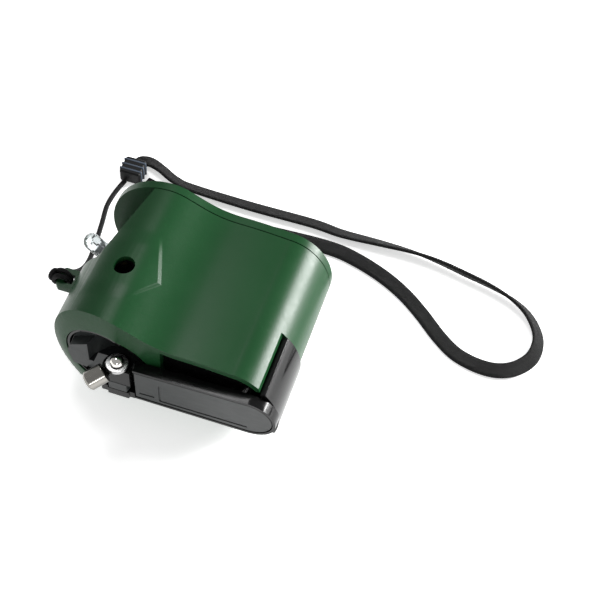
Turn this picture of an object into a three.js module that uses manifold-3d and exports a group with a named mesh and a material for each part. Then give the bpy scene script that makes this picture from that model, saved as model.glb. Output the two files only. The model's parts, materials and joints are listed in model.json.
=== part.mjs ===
// A pocket hand-crank charger with a torch LED and a wrist strap.
// Millimetres, +Z up. The origin is on the flat base under the middle of the body,
// +X points to the grip end and -Y to the face that carries the crank.
import * as THREE from 'three';
import { mergeVertices } from 'three/addons/utils/BufferGeometryUtils.js';
import Module from 'manifold-3d';

const wasm = await Module();
wasm.setup();

// ---------- driving dimensions ----------
const GAP = 0.3;
const WALL = 1.8;
const FAR = 60;                                    // beyond every edge of the body
const FRONT = -25;
const SEAM = 22.5;                                 // back end of the shell
const BACK = 25.3;
const HUB = { x: -15.4, z: 21.2, radius: 12, face: -22.5, block: -25.5, back: -16.5 };
const DOME = { x: -15, z: 21, width: 18.7, height: 21 };
const SHOULDER = { x: 5.5, z: 35.9 };
const CORNER = { x: 20.5, z: 18.9, width: 13.2, above: 16.1, under: 17 };
const RING = { rim: -25.6, bore: 13.6, outer: 14.6, stand: 15.8, slope: 0.17, from: -12, skin: 3.2 };
const MOUTH = 0.3;                                 // left end of the open front
const WELL = { outer: 13.3, inner: 12.6, floor: -16.2, back: -14.8, shaft: 3.4 };
const PLATE = { front: -23.4, step: -22.1, back: -20.2 };
const FOLD = { x: -11, y: -28.2, swing: 10.3, pin: 0.8, bore: 1.1, front: -29.7 };   // vertical pin
const ARM = { front: -29.1, back: -25.9, endX: 26.5, endZ: 22, endWidth: 8.2, endHeight: 7.6 };
const GRIP = { x: 32, z: 21.4, radius: 9.3, front: -25.6, back: -6.3, sweep: 45.3, bulge: 0.8 };
const POCKET = { radius: 9.6, sweep: 45, back: -5.9, wall: 1.2 };
const SILL = { foot: -18.2, lean: 54 };               // sloped face under the crank
const FACET = { turn: 12.2, rise: 25.5, offset: 39.27, front: -2.5 };
const LED = { x: -30.6, y: 7.9, z: 25.3, radius: 2.5, reach: 4 };
const JACK = { x: -17.2, y: -5.7, radius: 3, bottom: 33 };
const EYELET = { outer: -38, root: -32.6, front: -9, back: -2.2, bar: 1.8, z: 26 };
const IDLER = { x: 0.32, z: 12.42 };
const GENERATOR = { x: 8.5, z: 20.5, radius: 9, front: -6.5, back: 9.5 };
const TRAIN = { wheel: 48, pinion: 12, coarse: 0.6, idler: 36, rotor: 10, fine: 0.5 };
const MID_PLATE = { front: -8.7, back: -7.2 };
const SCREWS = [[27.2, 27.5], [27.2, 8.5], [-10.5, 36.8], [-24.5, 8]];
const POSTS = [[6, 30.5, -19.9], [15.5, 8.5, -19.9], [-13, 4, -16.9]];

// ---------- materials ----------
function plastic(color, roughness) {
  return new THREE.MeshStandardMaterial({ color, roughness, metalness: 0 });
}
function metal(color, roughness) {
  return new THREE.MeshStandardMaterial({ color, roughness, metalness: 1 });
}
const green = plastic(0x21492a, 0.42);
const black = plastic(0x0b0b0c, 0.2);
const darkGrey = plastic(0x2b2d2e, 0.5);
const gearWhite = plastic(0xd9d4c4, 0.5);
const circuit = plastic(0x1b5a3a, 0.6);
const chip = plastic(0x141414, 0.5);
const clear = plastic(0xe6edf1, 0.05);
const gunmetal = metal(0x3a3c3e, 0.22);
const chrome = metal(0xd6d8da, 0.08);
const steel = metal(0xa9acb0, 0.35);
const brass = metal(0xb08d45, 0.35);
const copper = metal(0x9a5a2c, 0.4);
const magnet = metal(0x4a4a4e, 0.5);
const cordBlack = plastic(0x101010, 0.9);
const ferruleGrey = plastic(0x39434c, 0.5);

// ---------- solids ----------
function solid(geometry) {
  const bare = geometry.index ? geometry.toNonIndexed() : geometry.clone();
  bare.deleteAttribute('normal');
  bare.deleteAttribute('uv');
  const merged = mergeVertices(bare, 1e-4);
  const index = merged.index.array;
  const kept = [];
  for (let i = 0; i < index.length; i += 3) {
    const [a, b, c] = [index[i], index[i + 1], index[i + 2]];
    if (a !== b && b !== c && c !== a) kept.push(a, b, c);
  }
  return new wasm.Manifold(new wasm.Mesh({
    numProp: 3,
    vertProperties: new Float32Array(merged.attributes.position.array),
    triVerts: new Uint32Array(kept),
  }));
}
function geometryOf(body) {
  const mesh = body.getMesh();
  const geometry = new THREE.BufferGeometry();
  geometry.setAttribute('position', new THREE.BufferAttribute(new Float32Array(mesh.vertProperties), 3));
  geometry.setIndex(new THREE.BufferAttribute(new Uint32Array(mesh.triVerts), 1));
  geometry.computeVertexNormals();
  return geometry;
}
function cut(body, ...tools) {
  return tools.reduce((left, tool) => left.subtract(tool), body);
}
function join(body, ...others) {
  return others.reduce((whole, other) => whole.add(other), body);
}
// The biggest of the separate bodies in a solid.
function largest(body) {
  return body.decompose().reduce((best, next) => (next.volume() > best.volume() ? next : best));
}

// An outline drawn in X and Z, made solid between two Y values.
function alongY(shape, front, back, curveSegments = 10) {
  const options = { depth: back - front, bevelEnabled: false, curveSegments };
  return new THREE.ExtrudeGeometry(shape, options).rotateX(Math.PI / 2).translate(0, back, 0);
}
function alongZ(shape, bottom, top, curveSegments = 8) {
  const options = { depth: top - bottom, bevelEnabled: false, curveSegments };
  return new THREE.ExtrudeGeometry(shape, options).translate(0, 0, bottom);
}
function block(x0, x1, y0, y1, z0, z1) {
  const geometry = new THREE.BoxGeometry(x1 - x0, y1 - y0, z1 - z0);
  return geometry.translate((x0 + x1) / 2, (y0 + y1) / 2, (z0 + z1) / 2);
}
function rodY(radius, x, z, front, back, sides = 24) {
  return new THREE.CylinderGeometry(radius, radius, back - front, sides).translate(x, (front + back) / 2, z);
}
function rodZ(radius, x, y, bottom, top, sides = 24) {
  const geometry = new THREE.CylinderGeometry(radius, radius, top - bottom, sides).rotateX(Math.PI / 2);
  return geometry.translate(x, y, (bottom + top) / 2);
}
// A turned piece: points are [radius, height] along its axis, which is Y.
function turned(points, sides = 20) {
  return new THREE.LatheGeometry(points.map(([r, y]) => new THREE.Vector2(r, y)), sides);
}
function tube(outer, inner, length, sides = 20) {
  return turned([[inner, 0], [outer, 0], [outer, length], [inner, length], [inner, 0]], sides);
}
function polygon(points) {
  return new THREE.Shape(points.map(([x, z]) => new THREE.Vector2(x, z)));
}

const object = new THREE.Group();
function piece(name, geometry, material, parent = object) {
  const mesh = new THREE.Mesh(geometry, material);
  mesh.name = name;
  parent.add(mesh);
  return mesh;
}

// ---------- body outline ----------
// One outline runs from front to back: an oval dome around the crank axis, a dip for the
// fingers and a rounded grip end. inset shrinks it by a wall.
function bodyShape(inset) {
  const quarter = Math.PI / 2;
  const top = 2 * DOME.height - inset;
  const width = DOME.width - inset;
  const shoulder = SHOULDER.z - inset;
  const shape = new THREE.Shape();
  shape.moveTo(DOME.x, inset);
  shape.absellipse(DOME.x, DOME.z, width, DOME.height - inset, -quarter, -3 * quarter, true, 0);
  shape.bezierCurveTo(DOME.x + 6.5, top, SHOULDER.x - 10.5, shoulder + 0.3, SHOULDER.x, shoulder);
  shape.quadraticCurveTo(SHOULDER.x + 7.5, shoulder, CORNER.x, CORNER.z + CORNER.above - inset);
  shape.absellipse(CORNER.x, CORNER.z, CORNER.width - inset, CORNER.above - inset, quarter, 0, true, 0);
  const underX = CORNER.x + CORNER.width - CORNER.under;
  shape.absellipse(underX, CORNER.z, CORNER.under - inset, CORNER.z - inset, 0, -quarter, true, 0);
  return shape;
}
function bodySolid(inset, front, back) {
  return solid(alongY(bodyShape(inset), front, back, 18));
}

// Everything outside the slanted flat at the back left, which carries the LED.
function beyondFacet(depth) {
  const size = 2 * FAR;
  const outside = new THREE.BoxGeometry(size, size, size).translate(-FAR - FACET.offset + depth, 0, 0);
  outside.rotateY(THREE.MathUtils.degToRad(FACET.rise));
  outside.rotateZ(-THREE.MathUtils.degToRad(FACET.turn));
  return solid(outside).intersect(solid(block(-FAR, FAR, FACET.front - depth, FAR, -FAR, FAR)));
}

// The room the stowed grip needs: to turn on its own axle, and to swing round the crank axis.
function gripPocket(front, back) {
  const turning = solid(rodY(POCKET.radius, GRIP.x, GRIP.z, front, back, 40));
  const beyond = cut(
    solid(block(CORNER.x, FAR, front, back, -1, FAR)),
    solid(rodY(POCKET.sweep, HUB.x, HUB.z, front - 1, back + 1, 140)),
  );
  return join(turning, beyond);
}

// The Y of the ring's rim, which leans back towards the left.
function rimY(x, level) {
  return level + RING.slope * Math.max(0, RING.from - x);
}
// The front of the dome: a bevel from the round rim out to the body outline, as one ruled surface.
function ringBevel() {
  const sides = 64;
  const reach = 4;                                 // how far the surface is carried past the outline
  const crease = { top: 0.7, left: 1.9 };
  const geometry = new THREE.CylinderGeometry(1, 1, 1, sides);
  const position = geometry.attributes.position;
  for (let i = 0; i < position.count; i++) {
    const [c, s] = [position.getX(i), position.getZ(i)];
    const rim = [HUB.x + RING.outer * c, rimY(HUB.x + RING.outer * c, RING.rim), HUB.z + RING.outer * s];
    const edgeX = DOME.x + DOME.width * c;
    const edgeY = rimY(edgeX, RING.rim) + crease.top + (crease.left - crease.top) * Math.max(0, -c);
    const edge = [edgeX, edgeY, DOME.z + DOME.height * s];
    const t = position.getY(i) > 0 ? reach : 0;
    position.setXYZ(i, ...rim.map((value, axis) => value + t * (edge[axis] - value)));
  }
  return solid(geometry);
}
// Material in front of the leaning rim plane, shifted by a distance.
function beforeRim(shift) {
  const reach = RING.from + FAR;
  const lean = polygon([[0, 0], [-reach, RING.slope * reach], [-reach, -FAR], [FAR, -FAR], [FAR, 0]]);
  return solid(alongZ(lean, -1, FAR).translate(RING.from, RING.rim + shift, 0));
}

// Everything in front of and below the sloped face under the crank, moved into the body by a depth.
function beforeSill(depth) {
  const size = 2 * FAR;
  const outside = new THREE.BoxGeometry(size, size, size).translate(0, 0, depth - FAR);
  outside.rotateX(-THREE.MathUtils.degToRad(SILL.lean));
  return solid(outside.translate(0, SILL.foot, 0));
}

function strapEyelet() {
  const { outer, root, front, back, bar, z } = EYELET;
  const shape = polygon([
    [root, front], [root, back], [outer + 0.8, back], [outer, back - 0.8], [outer, front + 0.8],
    [outer + 0.8, front],
  ]);
  const hole = block(outer + bar, root - 1, front + bar, back - bar, z - bar, z + bar);
  return cut(solid(alongZ(shape, z - bar / 2, z + bar / 2)), solid(hole));
}

function housingShell() {
  const bevelled = bodySolid(0, -28, SEAM).intersect(join(
    ringBevel(),
    solid(block(-8, FAR, FRONT, FAR, -1, FAR)),
    cut(solid(block(-FAR, FAR, -28, FAR, -1, FAR)), beforeRim(2.6)),
  ));
  const bore = solid(rodY(RING.bore, HUB.x, HUB.z, -30, 0, 64));
  const hollow = bodySolid(WALL, PLATE.front, SEAM + 1);
  const cavity = cut(hollow, beyondFacet(WALL), beforeRim(RING.skin), beforeSill(WALL));
  const mouth = cut(
    bodySolid(WALL, -30, RING.rim + RING.skin + 0.1).intersect(solid(block(MOUTH, FAR, -30, 0, -1, FAR))),
    solid(rodY(RING.stand, HUB.x, HUB.z, -31, 0, 64)),
    beforeSill(WALL),
  );
  const boss = ([x, z]) => solid(rodY(3.1, x, z, 12, SEAM, 16)).intersect(bodySolid(1, 0, SEAM));
  const bosses = SCREWS.map(boss);
  const ledHole = new THREE.CylinderGeometry(LED.radius + GAP, LED.radius + GAP, 8, 24);
  return cut(
    join(
      cut(bevelled, beyondFacet(0), beforeSill(0), cavity, bore, mouth),
      ...bosses,
      strapEyelet(),
    ),
    gripPocket(-30, POCKET.back),
    solid(rodZ(JACK.radius, JACK.x, JACK.y, JACK.bottom, FAR)),
    solid(ledPlaced(ledHole.rotateZ(Math.PI / 2))),
    ...SCREWS.map(([x, z]) => solid(rodY(1.3, x, z, 13, BACK, 12))),
  );
}

// LED pieces are drawn along X, outwards from the slanted flat, then put in place.
function ledPlaced(geometry) {
  geometry.rotateY(Math.PI);
  geometry.rotateY(THREE.MathUtils.degToRad(FACET.rise));
  geometry.rotateZ(-THREE.MathUtils.degToRad(FACET.turn));
  return geometry.translate(LED.x, LED.y, LED.z);
}
piece('housing_shell', geometryOf(largest(housingShell())), green);

function backCover() {
  const holes = SCREWS.map(([x, z]) => solid(rodY(1.5, x, z, 0, FAR, 12)));
  const seats = SCREWS.map(([x, z]) => solid(rodY(2.6, x, z, BACK - 1.4, FAR, 20)));
  return cut(bodySolid(0, SEAM + GAP, BACK), ...holes, ...seats);
}
piece('back_cover', geometryOf(backCover()), green);
const screwProfile = [[0, 0], [1, 0], [1, 9.9], [2.3, 9.9], [2.3, 10.8], [1.5, 11.1], [0, 11.1]];
const screw = geometryOf(cut(
  solid(turned(screwProfile, 16)),
  solid(block(-1.4, 1.4, 10.4, 12, -0.25, 0.25)),
  solid(block(-0.25, 0.25, 10.4, 12, -1.4, 1.4)),
));
SCREWS.forEach(([x, z], i) => {
  piece(`cover_screw_${i + 1}`, screw, steel).position.set(x, BACK - 11.2, z);
});

// ---------- front frame: gearbox cover, hub well and grip pocket in one black moulding ----------
function frontFrame() {
  const inner = bodySolid(WALL + GAP, -30, 5);
  const plate = cut(
    inner.intersect(solid(block(-FAR, FAR, PLATE.step, PLATE.back, -1, FAR))),
    beforeRim(RING.skin + GAP),
  );
  const showing = cut(
    inner.intersect(solid(block(MOUTH + GAP, FAR, PLATE.front + GAP, PLATE.step + 1, -1, FAR))),
    solid(rodY(RING.stand + GAP, HUB.x, HUB.z, -30, 0, 64)),
  );
  const well = cut(
    solid(rodY(WELL.outer, HUB.x, HUB.z, RING.rim + GAP, WELL.back, 64)),
    beforeRim(GAP),
    beforeSill(GAP),
  );
  const around = POCKET.radius + POCKET.wall;
  const liner = solid(rodY(around, GRIP.x, GRIP.z, PLATE.back - 1, POCKET.back + 1.6, 40));
  return cut(
    join(cut(join(plate, showing, liner.intersect(inner)), beforeSill(WALL + GAP)), well),
    solid(rodY(WELL.inner, HUB.x, HUB.z, -30, WELL.floor, 64)),
    solid(rodY(WELL.shaft, HUB.x, HUB.z, -30, 0, 24)),
    gripPocket(-30, POCKET.back + GAP),
  );
}
piece('front_frame', geometryOf(largest(frontFrame())), black);

// ---------- crank hub ----------
function foldBore() {
  return solid(rodZ(FOLD.bore, FOLD.x, FOLD.y, 0, FAR, 16));
}
// Round hinge parts are flat at the front, so that they lie close to the arm's face.
function foldRound(radius, bottom, top) {
  const behind = solid(block(-FAR, FAR, FOLD.front, FAR, -1, FAR));
  return solid(rodZ(radius, FOLD.x, FOLD.y, bottom, top, 32)).intersect(behind);
}
function crankHub() {
  const disc = solid(rodY(HUB.radius, HUB.x, HUB.z, HUB.face, HUB.back, 64));
  const face = polygon([[-27.6, 25.5], [-19.7, 29.6], [-16.4, 26.3], [-22.1, 17], [-26, 17.5]]);
  const raised = solid(alongY(face, HUB.block, HUB.face + 1)).intersect(
    solid(rodY(HUB.radius - 0.1, HUB.x, HUB.z, -30, 0, 64)),
  );
  const tongueEnd = foldRound(3, 17.3, 20.6);
  const tongueWeb = block(FOLD.x - 3, FOLD.x + 1.6, FOLD.y, HUB.face + 1, 17.3, 20.6);
  const swing = solid(rodZ(FOLD.swing, FOLD.x, FOLD.y, HUB.z, 33, 64));
  const below = solid(rodZ(6, FOLD.x, FOLD.y, 8, 17.3 - GAP, 40));
  return cut(
    join(cut(join(disc, raised), swing, below), tongueEnd, solid(tongueWeb)),
    foldBore(),
  );
}
piece('crank_hub', geometryOf(largest(crankHub())), darkGrey);
const shaftProfile = [[0, 0], [3, 0], [3, 4.6], [1.7, 4.6], [1.7, 9.6], [0, 9.6]];
piece('crank_shaft', turned(shaftProfile, 20), steel).position.set(HUB.x, HUB.back + GAP, HUB.z);
piece('shaft_clip', tube(3.2, 2, 0.8, 16), steel).position.set(HUB.x, -11.3, HUB.z);

// ---------- folding arm ----------
function armShape(inset, left) {
  const { endX, endZ, endWidth, endHeight } = ARM;
  const shape = new THREE.Shape();
  const [width, height] = [endWidth - inset, endHeight - inset];
  shape.moveTo(left, 14.4 + inset);
  shape.lineTo(endX, endZ - height);
  shape.absellipse(endX, endZ, width, height, -Math.PI / 2, Math.PI / 2, false, 0);
  shape.lineTo(left, 28.4 - inset);
  return shape;
}
function crankArm() {
  const slab = cut(
    solid(alongY(armShape(0, FOLD.x), ARM.front, ARM.back, 14)),
    solid(rodZ(4.8, FOLD.x, FOLD.y, 17, 40, 40)),
    solid(block(-FAR, FOLD.x + 1.6, -FAR, 0, 17, FAR)),
  );
  const prong = foldRound(3.4, 14.2, 17);
  const tail = solid(block(FOLD.x - 5.2, FOLD.x + 4.6, ARM.front, ARM.back - 0.6, 14.2, 17));
  return cut(
    join(slab, prong, tail),
    solid(alongY(armShape(0.8, -6.3), ARM.front - 1, ARM.front + 1.1, 14)),
    foldBore(),
    solid(rodY(1.6, GRIP.x, GRIP.z, ARM.front + 1.4, 0, 16)),
  );
}
piece('crank_arm', geometryOf(largest(crankArm())), black);
function armCover() {
  const grooves = [
    [[-4.9, 17.3], [-0.5, 17.5], [-0.5, 18.1], [-4.9, 17.9]],
    [[0.9, 16.7], [1.4, 16.7], [1.4, 24], [0.9, 24]],
    [[0.9, 16.5], [26.5, 16.9], [26.5, 17.4], [0.9, 17]],
  ];
  const cover = solid(alongY(armShape(1.1, -6), ARM.front + 0.1, ARM.front + 0.8, 14));
  return cut(cover, ...grooves.map((line) => solid(alongY(polygon(line), ARM.front - 1, ARM.front + 0.45))));
}
piece('arm_cover', geometryOf(largest(armCover())), darkGrey);

const BARREL = { turn: 222, dip: 20, from: 3.9, to: 9.6, radius: 2.8, z: 27.7 };
// Pieces of the latch barrel are drawn along Y, outwards from the fold pin.
function barrelPlaced(geometry) {
  geometry.rotateX(-THREE.MathUtils.degToRad(BARREL.dip));
  geometry.rotateZ(THREE.MathUtils.degToRad(BARREL.turn - 90));
  return geometry.translate(FOLD.x, FOLD.y, BARREL.z);
}
function knuckle() {
  const round = foldRound(4.2, 20.9, 27.4);
  const bore = barrelPlaced(rodY(BARREL.radius + GAP, 0, 0, BARREL.from - GAP, 12, 28));
  return cut(round, solid(bore), foldBore());
}
piece('hinge_knuckle', geometryOf(largest(knuckle())), black);
const barrelProfile = [
  [0, BARREL.from], [BARREL.radius, BARREL.from], [BARREL.radius, BARREL.to - 0.7],
  [BARREL.radius - 0.7, BARREL.to], [0, BARREL.to],
];
piece('hinge_barrel', barrelPlaced(turned(barrelProfile, 24)), gunmetal);
piece('hinge_collar', tube(3.1, 1.1, 1.2, 24).rotateX(Math.PI / 2), steel)
  .position.set(FOLD.x, FOLD.y, 27.7);
const pinHead = [[2, 15.1], [1.9, 15.8], [1.4, 16.6], [0.7, 17], [0, 17.1]];
const pinProfile = [[0, 0], [FOLD.pin, 0], [FOLD.pin, 15.1], ...pinHead];
piece('hinge_pin', turned(pinProfile, 20).rotateX(Math.PI / 2), chrome).position.set(FOLD.x, FOLD.y, 14.1);

// ---------- grip ----------
function gripSolid() {
  const outside = solid(alongY(bodyShape(0), GRIP.front, GRIP.back, 18).translate(GRIP.bulge, 0, 0));
  return cut(
    outside.intersect(solid(rodY(GRIP.radius, GRIP.x, GRIP.z, GRIP.front, GRIP.back, 40))),
    solid(rodY(GRIP.sweep, HUB.x, HUB.z, GRIP.front - 1, GRIP.back + 1, 140)),
    solid(rodY(1.3, GRIP.x, GRIP.z, -40, 0, 16)),
  );
}
piece('grip', geometryOf(largest(gripSolid())), black);
piece('grip_axle', rodY(1, GRIP.x, GRIP.z, ARM.front + 1.7, GRIP.back - 0.6, 14), steel);

// ---------- gear train ----------
function gear(teeth, module, phase, bore, length) {
  const pitch = module * teeth / 2;
  const step = 2 * Math.PI / teeth;
  const half = 0.23 * step;                        // half a tooth at the pitch circle
  const flank = [
    [pitch - 1.2 * module, half * 1.45], [pitch, half], [pitch + 0.45 * module, half * 0.72],
    [pitch + 0.85 * module, half * 0.4],
  ];
  const points = [];
  for (let tooth = 0; tooth < teeth; tooth++) {
    const middle = phase + tooth * step;
    flank.forEach(([r, w]) => points.push([r * Math.cos(middle - w), r * Math.sin(middle - w)]));
    [...flank].reverse().forEach(([r, w]) => {
      points.push([r * Math.cos(middle + w), r * Math.sin(middle + w)]);
    });
  }
  const shape = polygon(points);
  shape.holes.push(new THREE.Path().absarc(0, 0, bore, 0, 2 * Math.PI, true));
  return alongY(shape, 0, length, 8);
}
// The phase that puts a follower's gap on the driver's tooth, on the line between their axes.
function meshPhase(driver, driverPhase, driverTeeth, follower, followerTeeth) {
  const line = Math.atan2(follower.z - driver.z, follower.x - driver.x);
  const past = (line - driverPhase) * driverTeeth / (2 * Math.PI);
  return line + Math.PI + (past + 0.5) * 2 * Math.PI / followerTeeth;
}
const pinionPhase = meshPhase(HUB, 0, TRAIN.wheel, IDLER, TRAIN.pinion);
const rotorPhase = meshPhase(IDLER, 0, TRAIN.idler, GENERATOR, TRAIN.rotor);
function gearPiece(name, geometry, material, place, front) {
  piece(name, geometry, material).position.set(place.x, front, place.z);
}
gearPiece('main_gear', gear(TRAIN.wheel, TRAIN.coarse, 0, 3.3, 2.4), gearWhite, HUB, -14.3);
gearPiece('idler_pinion', gear(TRAIN.pinion, TRAIN.coarse, pinionPhase, 1.3, 2.6), gearWhite, IDLER, -14.4);
gearPiece('idler_gear', gear(TRAIN.idler, TRAIN.fine, 0, 1.3, 2), gearWhite, IDLER, -11.4);
gearPiece('generator_pinion', gear(TRAIN.rotor, TRAIN.fine, rotorPhase, 1.1, 2.2), brass, GENERATOR, -11.5);
piece('idler_axle', rodY(1, IDLER.x, IDLER.z, PLATE.back + 2, MID_PLATE.back, 14), steel);

function midPlate() {
  const edge = [[-22, 4.5], [-16, 2.6], [17, 2.6], [17.8, 12], [17.8, 31], [12, 32.6], [-20, 32.6]];
  const outline = polygon(edge);
  return cut(
    solid(alongY(outline, MID_PLATE.front, MID_PLATE.back)),
    solid(rodY(2.1, HUB.x, HUB.z, -20, 0, 16)),
    solid(rodY(1.3, IDLER.x, IDLER.z, -20, 0, 14)),
    solid(rodY(2, GENERATOR.x, GENERATOR.z, -20, 0, 16)),
  );
}
piece('gearbox_plate', geometryOf(midPlate()), steel);
POSTS.forEach(([x, z, front], i) => {
  piece(`gearbox_post_${i + 1}`, rodY(1.8, x, z, front, MID_PLATE.front - GAP, 14), brass);
});

// ---------- generator ----------
const generator = new THREE.Group();
generator.position.set(GENERATOR.x, GENERATOR.front, GENERATOR.z);
object.add(generator);
const canLength = GENERATOR.back - GENERATOR.front;
const canInner = GENERATOR.radius - 0.8;
piece('generator_can', turned([
  [2.2, 0], [GENERATOR.radius, 0], [GENERATOR.radius, canLength], [canInner, canLength],
  [canInner, 0.8], [2.2, 0.8], [2.2, 0],
], 32), steel, generator);
piece('stator_winding', tube(canInner - GAP, 5.4, 9, 28), copper, generator).position.y = 2.5;
piece('rotor_magnet', tube(4.8, 1.2, 8.4, 24), magnet, generator).position.y = 2.8;
piece('generator_cap', tube(GENERATOR.radius, 1.3, 1.2, 28), black, generator).position.y = canLength + GAP;
piece('rotor_shaft', rodY(0.9, GENERATOR.x, GENERATOR.z, -12.3, GENERATOR.back + 1.9, 12), steel);

// ---------- electronics ----------
const BOARD = { z: 3.4, thick: 1.4, middle: 16.2 };
const onBoard = BOARD.z + BOARD.thick + 0.1;
piece('circuit_board', block(-16, 22, 12.3, 20, BOARD.z, BOARD.z + BOARD.thick), circuit);
piece('bridge_rectifier', block(-12, -6.5, 13.5, 18.5, onBoard, onBoard + 2.6), chip);
piece('voltage_regulator', block(-3, 1.5, 14, 18, onBoard, onBoard + 1.8), chip);
piece('capacitor', turned([[0, 0], [3, 0], [3, 11], [2.6, 11.4], [0, 11.4]], 20).rotateX(Math.PI / 2), gunmetal)
  .position.set(8, BOARD.middle, onBoard);
piece('inductor', tube(3.2, 1.4, 3, 20).rotateX(Math.PI / 2), copper).position.set(16, BOARD.middle, onBoard);

// ---------- charging socket ----------
function outputSocket() {
  const post = solid(rodZ(4.2, JACK.x, JACK.y, JACK.bottom, FAR, 24));
  const body = post.intersect(bodySolid(WALL + GAP, -30, 30));
  return cut(body, solid(rodZ(2.7, JACK.x, JACK.y, JACK.bottom + 1.2, FAR, 24)));
}
piece('output_socket', geometryOf(outputSocket()), black);
piece('socket_contact', rodZ(0.8, JACK.x, JACK.y, JACK.bottom + 1.4, JACK.bottom + 2.8, 10), brass);

// ---------- LED ----------
function ledLens() {
  const r = LED.radius;
  const inside = -WALL - GAP;
  const profile = [[0, inside - 1], [r + 0.6, inside - 1], [r + 0.6, inside], [r, inside], [r, LED.reach]];
  const steps = 5;
  for (let step = 1; step < steps; step++) {
    const angle = step / steps * Math.PI / 2;
    profile.push([r * Math.cos(angle), LED.reach + r * Math.sin(angle)]);
  }
  profile.push([0, LED.reach + r]);
  return turned(profile, 24).rotateZ(-Math.PI / 2);
}
piece('led_lens', ledPlaced(ledLens()), clear);
[-1.27, 1.27].forEach((side, i) => {
  const lead = block(-11, -WALL - GAP - 1.3, side - 0.3, side + 0.3, -0.3, 0.3);
  piece(`led_lead_${i + 1}`, ledPlaced(lead), steel);
});

// ---------- wrist strap ----------
const CORD = { radius: 0.8, sides: 8 };
const CORD_ROUTE = [
  [-39.3, -3.5, 24.2], [-39.6, -1, 21.8], [-39.8, 3, 16.8], [-40.2, 8, 10.5], [-41, 14, 4.6], [-41.8, 19.5, 1.6],
  [-42.6, 25, 0.9], [-43.9, 33.5, 0.9], [-45.2, 41, 0.9], [-44.9, 47, 0.9], [-43.6, 52.1, 1.4],
];
const WEB_ROUTE = [
  [-42.2, 60.1], [-41.6, 62], [-38.6, 62.2], [-34, 60.3], [-28.5, 57.6], [-22, 56.4], [-2.3, 55.9], [18.3, 56.1], [28.7, 55.2],
  [40.7, 55.4], [51.7, 55.3], [60.4, 54.3], [69.3, 52.5], [78.1, 50.6], [85.9, 47.9], [91.8, 43.7], [95.8, 37.2],
  [95.9, 30.4], [92.6, 25.2], [87.7, 22.4], [81.5, 22], [74, 23.9], [67.4, 28.3], [60.3, 34.5], [53.3, 39.7],
  [45.3, 43.9], [35.6, 47.2], [26.7, 48.6], [12, 48.3], [-2, 47.6], [-14, 47.6], [-25, 49.8], [-33, 53],
  [-37.4, 54.2],
];
function runAlong(section, points, steps) {
  const path = new THREE.CatmullRomCurve3(points.map((p) => new THREE.Vector3(...p)), false, 'centripetal');
  return new THREE.ExtrudeGeometry(section, { steps, bevelEnabled: false, extrudePath: path, curveSegments: 2 });
}
const round = new THREE.Shape();
for (let i = 0; i < CORD.sides; i++) {
  const angle = 2 * Math.PI * i / CORD.sides;
  const [x, y] = [CORD.radius * Math.cos(angle), CORD.radius * Math.sin(angle)];
  if (i === 0) round.moveTo(x, y);
  else round.lineTo(x, y);
}
const WEB = { width: 4.6, thick: 1.1, z: 0.6 };
const flat = polygon([
  [-WEB.thick / 2, -WEB.width / 2], [WEB.thick / 2, -WEB.width / 2],
  [WEB.thick / 2, WEB.width / 2], [-WEB.thick / 2, WEB.width / 2],
]);
piece('lanyard_hitch', new THREE.TorusGeometry(2.4, CORD.radius, 8, 20).rotateX(Math.PI / 2), cordBlack)
  .position.set(EYELET.outer + EYELET.bar / 2, -5.5, EYELET.z);
piece('lanyard_cord', runAlong(round, CORD_ROUTE, 46), cordBlack);
piece('lanyard_webbing', runAlong(flat, WEB_ROUTE.map(([x, y]) => [x, y, WEB.z]), 80), cordBlack);
const ferrule = new THREE.Group();
ferrule.position.set(-42.2, 56, 2.7);
object.add(ferrule);
piece('lanyard_ferrule', block(-3.5, 3.5, -3.4, 3.4, -2.6, 2.6), ferruleGrey, ferrule);

export default object;
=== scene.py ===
"""Looks for the hand-crank pocket charger: camera, strap, finer pieces, materials and light. Metres."""
import json
import math
import bmesh
import bpy
from mathutils import Matrix, Vector


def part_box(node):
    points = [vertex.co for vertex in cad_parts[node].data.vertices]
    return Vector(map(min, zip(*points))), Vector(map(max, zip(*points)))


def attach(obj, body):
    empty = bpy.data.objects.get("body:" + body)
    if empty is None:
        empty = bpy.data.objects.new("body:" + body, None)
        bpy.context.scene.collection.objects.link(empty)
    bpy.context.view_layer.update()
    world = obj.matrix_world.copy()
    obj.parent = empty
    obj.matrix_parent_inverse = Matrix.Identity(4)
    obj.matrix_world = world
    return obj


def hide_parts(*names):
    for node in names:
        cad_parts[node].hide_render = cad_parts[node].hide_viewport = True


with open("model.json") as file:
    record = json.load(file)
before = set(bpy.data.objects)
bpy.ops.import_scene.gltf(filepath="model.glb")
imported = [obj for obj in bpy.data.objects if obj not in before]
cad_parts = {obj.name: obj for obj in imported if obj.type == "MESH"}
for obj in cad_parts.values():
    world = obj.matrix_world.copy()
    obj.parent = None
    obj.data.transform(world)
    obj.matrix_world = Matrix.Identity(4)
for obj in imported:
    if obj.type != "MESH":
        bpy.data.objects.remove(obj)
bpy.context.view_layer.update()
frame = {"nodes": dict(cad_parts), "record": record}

MM = 0.001
SLOT_OF = {s["node"]: s["material_slot"] for s in frame["record"]["subparts"]}
BODY_OF = {n: b for b, names in frame["record"]["behaviour"]["bodies"].items() for n in names}


def mm(x, y, z):
    return Vector((x * MM, y * MM, z * MM))


# ---------- camera ----------
AZIMUTH, ELEVATION, ROLL = math.radians(22.94), math.radians(55.52), math.radians(-2.66)
DISTANCE = 400.37                                  # from the middle of the body, millimetres
MIDDLE = mm(0, 0, 20)
LENS, SENSOR = 84.0, 36.0                          # millimetres
AIM_RIGHT, AIM_UP = 0.0763786, 0.0082357           # tangents of the aim's turn away from the middle


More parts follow.
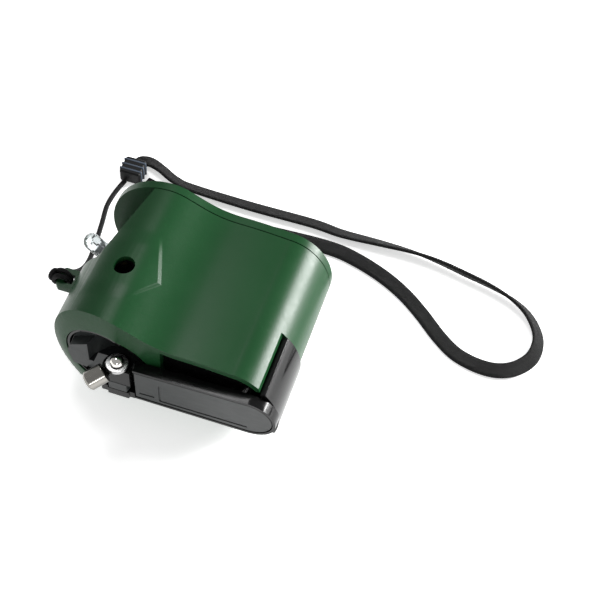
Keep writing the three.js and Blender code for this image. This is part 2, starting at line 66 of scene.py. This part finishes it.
def make_camera():
    level = math.cos(ELEVATION)
    away = Vector((math.sin(AZIMUTH) * level, -math.cos(AZIMUTH) * level, math.sin(ELEVATION)))
    flat_right = Vector((math.cos(AZIMUTH), math.sin(AZIMUTH), 0))
    upward = flat_right.cross(-away)
    right = math.cos(ROLL) * flat_right + math.sin(ROLL) * upward
    up = -math.sin(ROLL) * flat_right + math.cos(ROLL) * upward
    forward = (-away + right * AIM_RIGHT + up * AIM_UP).normalized()
    right = (right - forward * right.dot(forward)).normalized()
    up = right.cross(forward)
    data = bpy.data.cameras.new("camera")
    data.lens = LENS
    data.sensor_width = SENSOR
    data.clip_start = 0.01
    cam = bpy.data.objects.new("camera", data)
    bpy.context.collection.objects.link(cam)
    place = MIDDLE + away * DISTANCE * MM
    cam.matrix_world = Matrix.Translation(place) @ Matrix((right, up, -forward)).transposed().to_4x4()
    bpy.context.scene.camera = cam


make_camera()


# ---------- materials ----------
def node(tree, kind, **values):
    made = tree.nodes.new(kind)
    for name, value in values.items():
        if name in made.inputs:
            made.inputs[name].default_value = value
        else:
            setattr(made, name, value)
    return made


def material(name, color, rough, metallic=0.0, grain=900, grain_height=0.02, wear=0.08, tint=0.12):
    """A principled surface with fine grain, patchy roughness, faint tone change and soft scuffs."""
    made = bpy.data.materials.new(name)
    made.use_nodes = True
    tree = made.node_tree
    shader = tree.nodes["Principled BSDF"]
    shader.inputs["Metallic"].default_value = metallic
    where = node(tree, "ShaderNodeTexCoord")
    fine = node(tree, "ShaderNodeTexNoise", Scale=grain, Detail=3.0, Roughness=0.6)
    patch = node(tree, "ShaderNodeTexNoise", Scale=70.0, Detail=5.0, Roughness=0.55)
    scratch_map = node(tree, "ShaderNodeMapping", Scale=(1.0, 9.0, 4.0), Rotation=(0.3, 0.5, 0.4))
    scratch = node(tree, "ShaderNodeTexNoise", Scale=260.0, Detail=2.0, Roughness=0.5)
    for texture in (fine, patch, scratch_map):
        tree.links.new(where.outputs["Object"], texture.inputs["Vector"])
    tree.links.new(scratch_map.outputs["Vector"], scratch.inputs["Vector"])
    tone = node(tree, "ShaderNodeMix", data_type="RGBA")
    tone.inputs[6].default_value = (*[c * (1 - tint) for c in color], 1)
    tone.inputs[7].default_value = (*[min(1, c * (1 + tint)) for c in color], 1)
    tree.links.new(patch.outputs["Fac"], tone.inputs[0])
    tree.links.new(tone.outputs[2], shader.inputs["Base Color"])
    spread = node(tree, "ShaderNodeMapRange")
    spread.inputs["From Min"].default_value = 0.3
    spread.inputs["From Max"].default_value = 0.7
    spread.inputs["To Min"].default_value = max(0.02, rough - wear)
    spread.inputs["To Max"].default_value = min(1, rough + wear)
    blend = node(tree, "ShaderNodeMath", operation="ADD")
    half = node(tree, "ShaderNodeMath", operation="MULTIPLY")
    half.inputs[1].default_value = 0.5
    tree.links.new(patch.outputs["Fac"], blend.inputs[0])
    tree.links.new(scratch.outputs["Fac"], blend.inputs[1])
    tree.links.new(blend.outputs[0], half.inputs[0])
    tree.links.new(half.outputs[0], spread.inputs["Value"])
    tree.links.new(spread.outputs[0], shader.inputs["Roughness"])
    bump = node(tree, "ShaderNodeBump", Strength=1.0, Distance=grain_height * MM)
    tree.links.new(fine.outputs["Fac"], bump.inputs["Height"])
    tree.links.new(bump.outputs["Normal"], shader.inputs["Normal"])
    return made


def woven(name, along, across, uv=True):
    """Black ribbed fabric: ribs across the strap and a twill along it."""
    made = material(name, (0.003, 0.003, 0.0033), 0.7, grain=2500, grain_height=0.05)
    tree = made.node_tree
    shader = tree.nodes["Principled BSDF"]
    shader.inputs["Specular IOR Level"].default_value = 0.25
    where = node(tree, "ShaderNodeTexCoord")
    source = where.outputs["UV" if uv else "Object"]
    ribs = node(tree, "ShaderNodeTexWave", Scale=along, Distortion=0.6)
    twill = node(tree, "ShaderNodeTexWave", Scale=across, Distortion=0.3, bands_direction="Y")
    for texture in (ribs, twill):
        tree.links.new(source, texture.inputs["Vector"])
    product = node(tree, "ShaderNodeMath", operation="MULTIPLY")
    tree.links.new(ribs.outputs["Fac"], product.inputs[0])
    tree.links.new(twill.outputs["Fac"], product.inputs[1])
    bump = node(tree, "ShaderNodeBump", Strength=0.9, Distance=0.25 * MM)
    tree.links.new(product.outputs[0], bump.inputs["Height"])
    tree.links.new(bump.outputs["Normal"], shader.inputs["Normal"])
    return made


MATERIALS = {
    "green_plastic": material("green_plastic", (0.007, 0.044, 0.0135), 0.34, grain=2400, grain_height=0.018,
                              wear=0.06, tint=0.07),
    "black_plastic": material("black_plastic", (0.003, 0.003, 0.0032), 0.15, grain=1800, grain_height=0.004,
                              wear=0.07),
    "grey_plastic": material("grey_plastic", (0.022, 0.025, 0.025), 0.36, grain=2600, grain_height=0.012),
    "gear_plastic": material("gear_plastic", (0.68, 0.65, 0.55), 0.45),
    "circuit_board": material("circuit_board", (0.01, 0.1, 0.05), 0.4),
    "chip_plastic": material("chip_plastic", (0.01, 0.01, 0.01), 0.5),
    "gunmetal": material("gunmetal", (0.3, 0.29, 0.27), 0.22, metallic=1.0, grain_height=0.003),
    "chrome": material("chrome", (0.8, 0.78, 0.74), 0.1, metallic=1.0, grain_height=0.002, wear=0.04),
    "steel": material("steel", (0.5, 0.5, 0.5), 0.32, metallic=1.0, grain_height=0.006),
    "brass": material("brass", (0.6, 0.4, 0.13), 0.3, metallic=1.0, grain_height=0.004),
    "copper": material("copper", (0.5, 0.2, 0.08), 0.35, metallic=1.0, grain=3000, grain_height=0.05),
    "magnet": material("magnet", (0.08, 0.08, 0.085), 0.5, metallic=1.0),
    "ferrule_plastic": material("ferrule_plastic", (0.0025, 0.0028, 0.0032), 0.5),
    "cord_fabric": woven("cord_fabric", 900.0, 900.0, uv=False),
}
webbing_cloth = woven("webbing_cloth", 1.6, 5.0)
band_blue = material("band_blue", (0.035, 0.05, 0.075), 0.5)
led_white = material("led_white", (0.42, 0.43, 0.45), 0.5)


def clear_epoxy():
    # The grey tint is painted shade: it stands in for the dark outlines that darker surroundings would give
    # this clear lens.
    made = material("clear_epoxy", (0.74, 0.79, 0.8), 0.05, grain_height=0.001, wear=0.02, tint=0.02)
    shader = made.node_tree.nodes["Principled BSDF"]
    shader.inputs["Transmission Weight"].default_value = 0.9
    shader.inputs["IOR"].default_value = 1.5
    return made


MATERIALS["clear_plastic"] = clear_epoxy()


CREASE_BACK, CREASE_TIP, CREASE_FRONT = (-10.6, 3.6), (-7.0, -6.7), (-11.3, -12.9)
CREASE_MIDDLE_Y = -4.6
CREASE_HEIGHT = 0.35


def relief(target):
    """The faint moulded crease beside the socket: two straight ridges that meet in a point."""
    tree = target.node_tree
    shader = tree.nodes["Principled BSDF"]
    where = node(tree, "ShaderNodeTexCoord")
    split = node(tree, "ShaderNodeSeparateXYZ")
    tree.links.new(where.outputs["Object"], split.inputs[0])

    def maths(operation, a, b):
        made = node(tree, "ShaderNodeMath", operation=operation)
        for i, value in enumerate((a, b)):
            if isinstance(value, float):
                made.inputs[i].default_value = value
            else:
                tree.links.new(value, made.inputs[i])
        return made.outputs[0]

    def side(p, q):
        """How far a point is to the right of the line from p to q, in metres."""
        run = Vector((q[0] - p[0], q[1] - p[1])).normalized()
        from_x = maths("SUBTRACT", split.outputs[0], p[0] * MM)
        from_y = maths("SUBTRACT", split.outputs[1], p[1] * MM)
        return maths("ADD", maths("MULTIPLY", from_x, -run.y), maths("MULTIPLY", from_y, run.x))

    left_of_front = maths("MULTIPLY", side(CREASE_TIP, CREASE_FRONT), -1.0)
    left_of_back = maths("MULTIPLY", side(CREASE_BACK, CREASE_TIP), -1.0)
    nearest = maths("MINIMUM", left_of_front, left_of_back)
    rise = node(tree, "ShaderNodeMapRange", interpolation_type="SMOOTHSTEP")
    rise.inputs["From Min"].default_value = -0.9 * MM
    rise.inputs["From Max"].default_value = 0.3 * MM
    tree.links.new(nearest, rise.inputs["Value"])
    # The crease fades out past its two ends, and is on the top only.
    ends = node(tree, "ShaderNodeMapRange", interpolation_type="SMOOTHSTEP")
    ends.inputs["From Min"].default_value = 12.5 * MM
    ends.inputs["From Max"].default_value = 6.5 * MM
    away = maths("ABSOLUTE", maths("SUBTRACT", split.outputs[1], CREASE_MIDDLE_Y * MM), 0.0)
    tree.links.new(away, ends.inputs["Value"])
    top = node(tree, "ShaderNodeMapRange")
    top.inputs["From Min"].default_value = 36 * MM
    top.inputs["From Max"].default_value = 38 * MM
    tree.links.new(split.outputs[2], top.inputs["Value"])
    height = maths("MULTIPLY", maths("MULTIPLY", rise.outputs[0], ends.outputs[0]), top.outputs[0])
    old = shader.inputs["Normal"].links[0].from_socket
    bump = node(tree, "ShaderNodeBump", Strength=1.0, Distance=CREASE_HEIGHT * MM)
    tree.links.new(height, bump.inputs["Height"])
    tree.links.new(old, bump.inputs["Normal"])
    tree.links.new(bump.outputs["Normal"], shader.inputs["Normal"])


relief(MATERIALS["green_plastic"])
# How strongly each plastic mirrors its surroundings.
SHEEN = {"green_plastic": 0.17, "black_plastic": 0.22, "ferrule_plastic": 0.2, "grey_plastic": 0.3}
for slot_name, sheen in SHEEN.items():
    sheen_shader = MATERIALS[slot_name].node_tree.nodes["Principled BSDF"]
    sheen_shader.inputs["Specular IOR Level"].default_value = sheen


# ---------- helpers for pieces ----------
SMOOTH_ANGLE, EDGE_ANGLE, FLAT_ANGLE = 32, 28, 0.6     # degrees
MERGE_DISTANCE = 0.002


def show(obj, slot_name, body, *stands_for):
    if not obj.data.materials:
        obj.data.materials.append(MATERIALS[slot_name])
    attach(obj, body)
    if stands_for:
        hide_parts(*stands_for)
    return obj


def new_mesh(name, points, faces):
    mesh = bpy.data.meshes.new(name)
    mesh.from_pydata([tuple(p) for p in points], [], faces)
    mesh.validate()
    obj = bpy.data.objects.new(name, mesh)
    bpy.context.collection.objects.link(obj)
    return obj


def smooth(obj, angle=SMOOTH_ANGLE):
    for polygon in obj.data.polygons:
        polygon.use_smooth = True
    bpy.context.view_layer.objects.active = obj
    obj.select_set(True)
    bpy.ops.object.shade_smooth_by_angle(angle=math.radians(angle))
    obj.select_set(False)


def apply_all(obj):
    graph = bpy.context.evaluated_depsgraph_get()
    finished = bpy.data.meshes.new_from_object(obj.evaluated_get(graph))
    obj.modifiers.clear()
    obj.data = finished


def refine(name, edge, segments=3):
    """A copy of a CAD piece with its flat faces merged and its sharp edges rounded."""
    source = frame["nodes"][name]
    mesh = source.data.copy()
    work = bmesh.new()
    work.from_mesh(mesh)
    bmesh.ops.remove_doubles(work, verts=work.verts, dist=MERGE_DISTANCE * MM)
    flat = math.radians(FLAT_ANGLE)
    bmesh.ops.dissolve_limit(work, angle_limit=flat, verts=work.verts, edges=work.edges)
    work.to_mesh(mesh)
    work.free()
    mesh.materials.clear()
    obj = bpy.data.objects.new(name + "_fine", mesh)
    bpy.context.collection.objects.link(obj)
    rounding = obj.modifiers.new("edges", "BEVEL")
    rounding.width = edge * MM
    rounding.segments = segments
    rounding.limit_method = "ANGLE"
    rounding.angle_limit = math.radians(EDGE_ANGLE)
    rounding.use_clamp_overlap = True
    apply_all(obj)
    smooth(obj)
    even = obj.modifiers.new("even", "WEIGHTED_NORMAL")
    even.weight = 100
    even.keep_sharp = True
    apply_all(obj)
    return show(obj, SLOT_OF[name], BODY_OF[name], name)


def curve_points(route, per_span=10):
    """A smooth line through the route's points."""
    line = []
    ends = [2 * route[0] - route[1], *route, 2 * route[-1] - route[-2]]
    for a, b, c, d in zip(ends, ends[1:], ends[2:], ends[3:]):
        for i in range(per_span):
            t = i / per_span
            line.append(0.5 * (2 * b + (c - a) * t + (2 * a - 5 * b + 4 * c - d) * t ** 2
                               + (3 * b - a - 3 * c + d) * t ** 3))
    line.append(route[-1].copy())
    return line


# ---------- wrist strap ----------
CORD_WIDTH = 1.6
CORD_ROUTE = [
    (-39.3, -3.5, 24.2), (-39.6, -1, 21.8), (-39.8, 3, 16.8), (-40.2, 8, 10.5), (-41, 14, 4.6),
    (-41.8, 19.5, 1.6), (-42.6, 25, 0.9), (-43.9, 33.5, 0.9), (-45.2, 41, 0.9), (-44.9, 47, 0.9),
    (-43.6, 52.1, 1.4),
]
WEB_WIDTH, WEB_THICK, WEB_CORNER = 4.6, 1.1, 0.35
WEB_OFF_FLOOR = 0.08
# X and Y in millimetres, and how far the webbing leans over there, in degrees.
WEB_ROUTE = [
    (-42.2, 60.1, 0), (-41.6, 62, 0), (-38.6, 62.2, 15), (-34, 60.3, 30), (-28.5, 57.6, 30),
    (-22, 56.4, 25), (-2.3, 55.9, 20), (18.3, 56.1, 20), (28.7, 55.2, 25), (40.7, 55.4, 35),
    (51.7, 55.3, 50), (60.4, 54.3, 62), (69.3, 52.5, 66), (78.1, 50.6, 62), (85.9, 47.9, 52),
    (91.8, 43.7, 45), (95.8, 37.2, 40), (95.9, 30.4, 34), (92.6, 25.2, 28), (87.7, 22.4, 20),
    (81.5, 22, 12), (74, 23.9, 8), (67.4, 28.3, 5), (60.3, 34.5, 5), (53.3, 39.7, 8),
    (45.3, 43.9, 12), (35.6, 47.2, 15), (26.7, 48.6, 18), (12, 48.3, 15), (-2, 47.6, 10),
    (-14, 47.6, 5), (-25, 49.8, 5), (-33, 53, 0), (-37.4, 54.2, 0),
]


def make_cord():
    line = curve_points([mm(*p) for p in CORD_ROUTE])
    data = bpy.data.curves.new("lanyard_cord_fine", "CURVE")
    data.dimensions = "3D"
    data.bevel_depth = CORD_WIDTH / 2 * MM
    data.bevel_resolution = 3
    data.use_fill_caps = True
    spline = data.splines.new("POLY")
    spline.points.add(len(line) - 1)
    for point, place in zip(spline.points, line):
        point.co = (*place, 1)
    obj = bpy.data.objects.new("lanyard_cord_fine", data)
    bpy.context.collection.objects.link(obj)
    show(obj, "cord_fabric", "housing", "lanyard_cord")
    return obj, line


def make_webbing():
    """A flat ribbon that leans over on its edge where the loop swings out."""
    flat = curve_points([Vector((x * MM, y * MM, lean)) for x, y, lean in WEB_ROUTE], 14)
    half_w, half_t, corner = WEB_WIDTH / 2, WEB_THICK / 2, WEB_CORNER
    section = [
        (-half_w, -half_t + corner), (-half_w + corner, -half_t), (-half_w * 0.5, -half_t), (0, -half_t),
        (half_w * 0.5, -half_t), (half_w - corner, -half_t), (half_w, -half_t + corner),
        (half_w, half_t - corner), (half_w - corner, half_t), (half_w * 0.5, half_t), (0, half_t),
        (-half_w * 0.5, half_t), (-half_w + corner, half_t), (-half_w, half_t - corner),
    ]
    count = len(section)
    points, faces, centre, runs = [], [], [], []
    travelled = 0.0
    for i, here in enumerate(flat):
        before, after = flat[max(0, i - 1)], flat[min(len(flat) - 1, i + 1)]
        run = Vector((after.x - before.x, after.y - before.y, 0)).normalized()
        sideways = Vector((run.y, -run.x, 0))
        lean = math.radians(here.z)
        across = math.cos(lean) * sideways + math.sin(lean) * Vector((0, 0, 1))
        upward = run.cross(across) * -1
        rise = half_w * math.sin(lean) + half_t * math.cos(lean) + WEB_OFF_FLOOR
        middle = Vector((here.x, here.y, rise * MM))
        if i:
            travelled += (middle - centre[-1]).length
        centre.append(middle)
        runs.append(travelled)
        points += [middle + across * a * MM + upward * b * MM for a, b in section]
    for i in range(len(flat) - 1):
        for k in range(count):
            following = (k + 1) % count
            here, there = i * count, (i + 1) * count
            faces.append((here + k, here + following, there + following, there + k))
    faces.append(tuple(range(count)))
    faces.append(tuple((len(flat) - 1) * count + k for k in reversed(range(count))))
    obj = new_mesh("lanyard_webbing_fine", points, faces)
    work = bmesh.new()
    work.from_mesh(obj.data)
    bmesh.ops.recalc_face_normals(work, faces=work.faces)
    work.to_mesh(obj.data)
    work.free()
    layer = obj.data.uv_layers.new(name="run")
    for loop in obj.data.loops:
        ring, k = divmod(loop.vertex_index, count)
        layer.data[loop.index].uv = (runs[ring] / MM, section[k][0])
    obj.data.materials.append(webbing_cloth)
    smooth(obj, 50)
    show(obj, "cord_fabric", "housing", "lanyard_webbing")
    return obj, centre


def cord_ring(name, centre, radius, wire, axis_turn):
    bpy.ops.mesh.primitive_torus_add(
        location=centre, rotation=axis_turn, major_radius=radius * MM, minor_radius=wire * MM,
        major_segments=48, minor_segments=14,
    )
    obj = bpy.context.object
    obj.name = name
    for polygon in obj.data.polygons:
        polygon.use_smooth = True
    obj.data.materials.append(MATERIALS["cord_fabric"])
    return obj


def bake_transform(obj):
    obj.data.transform(obj.matrix_world)
    obj.matrix_world = Matrix.Identity(4)


HITCH_RADIUS, HITCH_WIRE, KNOT_WIRE = 2.35, 0.72, 0.75
# Each turn of the knot: its middle, its radius and how it is turned.
KNOT_TURNS = (
    ((-39.4, -3.9, 24.5), 1.35, (-3.9, 5.65044, 0.6)),
    ((-39.9, -5.4, 26.6), 1.2, (-5.4, 1.46726, 0.6)),
    ((-39.2, -4.9, 23.6), 1.1, (-4.9, 4.75044, 0.6)),
)


def make_hitch():
    low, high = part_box("lanyard_hitch")
    centre = (low + high) / 2
    parts = []
    for shift, tilt in ((-0.75, 0.12), (0.75, -0.12)):
        place = centre + mm(0, shift, 0)
        turn = (math.pi / 2 + tilt, 0, tilt)
        parts.append(cord_ring("hitch_turn", place, HITCH_RADIUS, HITCH_WIRE, turn))
    for place, radius, turn in KNOT_TURNS:
        parts.append(cord_ring("knot_turn", mm(*place), radius, KNOT_WIRE, turn))
    for part in parts:
        bpy.context.view_layer.update()
        bake_transform(part)
    bpy.ops.object.select_all(action="DESELECT")
    for part in parts:
        part.select_set(True)
    bpy.context.view_layer.objects.active = parts[0]
    bpy.ops.object.join()
    hitch = bpy.context.object
    hitch.name = "lanyard_hitch_fine"
    hitch.data.name = "lanyard_hitch_fine"
    hitch.select_set(False)
    return show(hitch, "cord_fabric", "housing", "lanyard_hitch")


cord, cord_line = make_cord()
webbing, webbing_line = make_webbing()
hitch = make_hitch()
ferrule = refine("lanyard_ferrule", 0.8, 4)


BAND_PLACES = (0.22, 0.5, 0.78)                    # shares of the ferrule's length
BAND_WIDE, BAND_EDGE = 0.7, 0.25
BAND_SIDE, BAND_TOP = 0.5, 0.24                    # how much more than the ferrule a band measures


def ferrule_bands():
    low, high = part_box("lanyard_ferrule")
    middle = (low + high) / 2
    made = []
    for i, share in enumerate(BAND_PLACES):
        y = low.y + (high.y - low.y) * share
        bpy.ops.mesh.primitive_cube_add(size=1, location=(middle.x, y, middle.z))
        band = bpy.context.object
        band.name = f"ferrule_band_{i + 1}"
        band.scale = (high.x - low.x + BAND_SIDE * MM, BAND_WIDE * MM, high.z - low.z + BAND_TOP * MM)
        bpy.context.view_layer.update()
        bake_transform(band)
        rounding = band.modifiers.new("edges", "BEVEL")
        rounding.width = BAND_EDGE * MM
        rounding.segments = 3
        apply_all(band)
        band.data.materials.append(band_blue)
        smooth(band)
        made.append(show(band, "ferrule_plastic", "housing"))
    return made


bands = ferrule_bands()


# ---------- finer pieces ----------
# How far each piece's edges are rounded, in millimetres.
EDGES = {
    "housing_shell": 0.35, "back_cover": 0.5, "front_frame": 0.25, "crank_hub": 0.35, "crank_arm": 0.45,
    "arm_cover": 0.15, "hinge_knuckle": 0.3, "hinge_barrel": 0.2, "hinge_collar": 0.15, "grip": 0.55,
    "output_socket": 0.2, "hinge_pin": 0.1, "cover_screw_1": 0.1, "cover_screw_2": 0.1, "cover_screw_3": 0.1,
    "cover_screw_4": 0.1,
}
for piece_name, edge in EDGES.items():
    refine(piece_name, edge)


LED_BASE = mm(-30.6, 7.9, 25.3)
LED_RISE, LED_TURN = math.radians(25.5), math.radians(12.2)
# What shows in the lens: where it starts and ends along the lens, its radius there, and its lift.
LED_PARTS = (("led_cup", -0.8, 1.7, 0.7, 1.5, 0), ("led_post", -0.8, 1.2, 0.35, 0.35, 1.3))


def led_inside():
    """The lens, and the reflector cup and post that show through it."""
    source = frame["nodes"]["led_lens"]
    lens = bpy.data.objects.new("led_lens_fine", source.data.copy())
    bpy.context.collection.objects.link(lens)
    lens.data.materials.clear()
    smooth(lens, 50)
    show(lens, "clear_plastic", "housing", "led_lens")
    level = math.cos(LED_RISE)
    outward = Vector((-level * math.cos(LED_TURN), level * math.sin(LED_TURN), math.sin(LED_RISE)))
    for name, start, end, low_radius, top_radius, lift in LED_PARTS:
        middle = LED_BASE + outward * (start + end) / 2 * MM + mm(0, 0, lift)
        bpy.ops.mesh.primitive_cone_add(
            vertices=28, radius1=low_radius * MM, radius2=top_radius * MM, depth=(end - start) * MM,
            location=middle, rotation=outward.to_track_quat("Z", "Y").to_euler(),
        )
        part = bpy.context.object
        part.name = name
        bpy.context.view_layer.update()
        bake_transform(part)
        part.data.materials.append(led_white)
        smooth(part)
        show(part, "steel", "housing")


led_inside()

for name, obj in frame["nodes"].items():
    if obj.hide_render:
        continue
    obj.data.materials.clear()
    obj.data.materials.append(MATERIALS[SLOT_OF[name]])
    smooth(obj)


# ---------- stage ----------
FLOOR_SIZE, FLOOR_DROP = 6, 0.0001
FLOOR_GLOW, WORLD_GLOW = 0.55, 0.42
# Each lamp: its name, place, width, height (metres) and power (watts).
LAMPS = (
    ("key", (0.62, 0.42, 0.24), 0.1, 0.36, 14.0),
    ("top", (-0.2, 0.25, 0.75), 0.25, 0.25, 2.2),
    ("front", (0.35, -0.7, 0.22), 0.25, 0.1, 0.9),
)


def stage_set():
    bpy.ops.mesh.primitive_plane_add(size=FLOOR_SIZE, location=(0, 0, -FLOOR_DROP))
    floor = bpy.context.object
    floor.name = "floor"
    pale = bpy.data.materials.new("pale_floor")
    pale.use_nodes = True
    shader = pale.node_tree.nodes["Principled BSDF"]
    shader.inputs["Base Color"].default_value = (0.96, 0.96, 0.96, 1)
    shader.inputs["Emission Color"].default_value = (1, 1, 1, 1)
    shader.inputs["Emission Strength"].default_value = FLOOR_GLOW
    shader.inputs["Roughness"].default_value = 0.8
    floor.data.materials.append(pale)
    world = bpy.data.worlds.new("studio")
    bpy.context.scene.world = world
    world.use_nodes = True
    background = world.node_tree.nodes["Background"]
    background.inputs["Color"].default_value = (1, 1, 1, 1)
    background.inputs["Strength"].default_value = WORLD_GLOW
    for name, place, wide, high, power in LAMPS:
        data = bpy.data.lights.new(name, "AREA")
        data.shape = "RECTANGLE"
        data.size, data.size_y = wide, high
        data.energy = power
        lamp = bpy.data.objects.new(name, data)
        bpy.context.collection.objects.link(lamp)
        lamp.location = place
        lamp.rotation_euler = (MIDDLE - Vector(place)).to_track_quat("-Z", "Y").to_euler()


stage_set()
bpy.context.scene.view_settings.view_transform = "Standard"
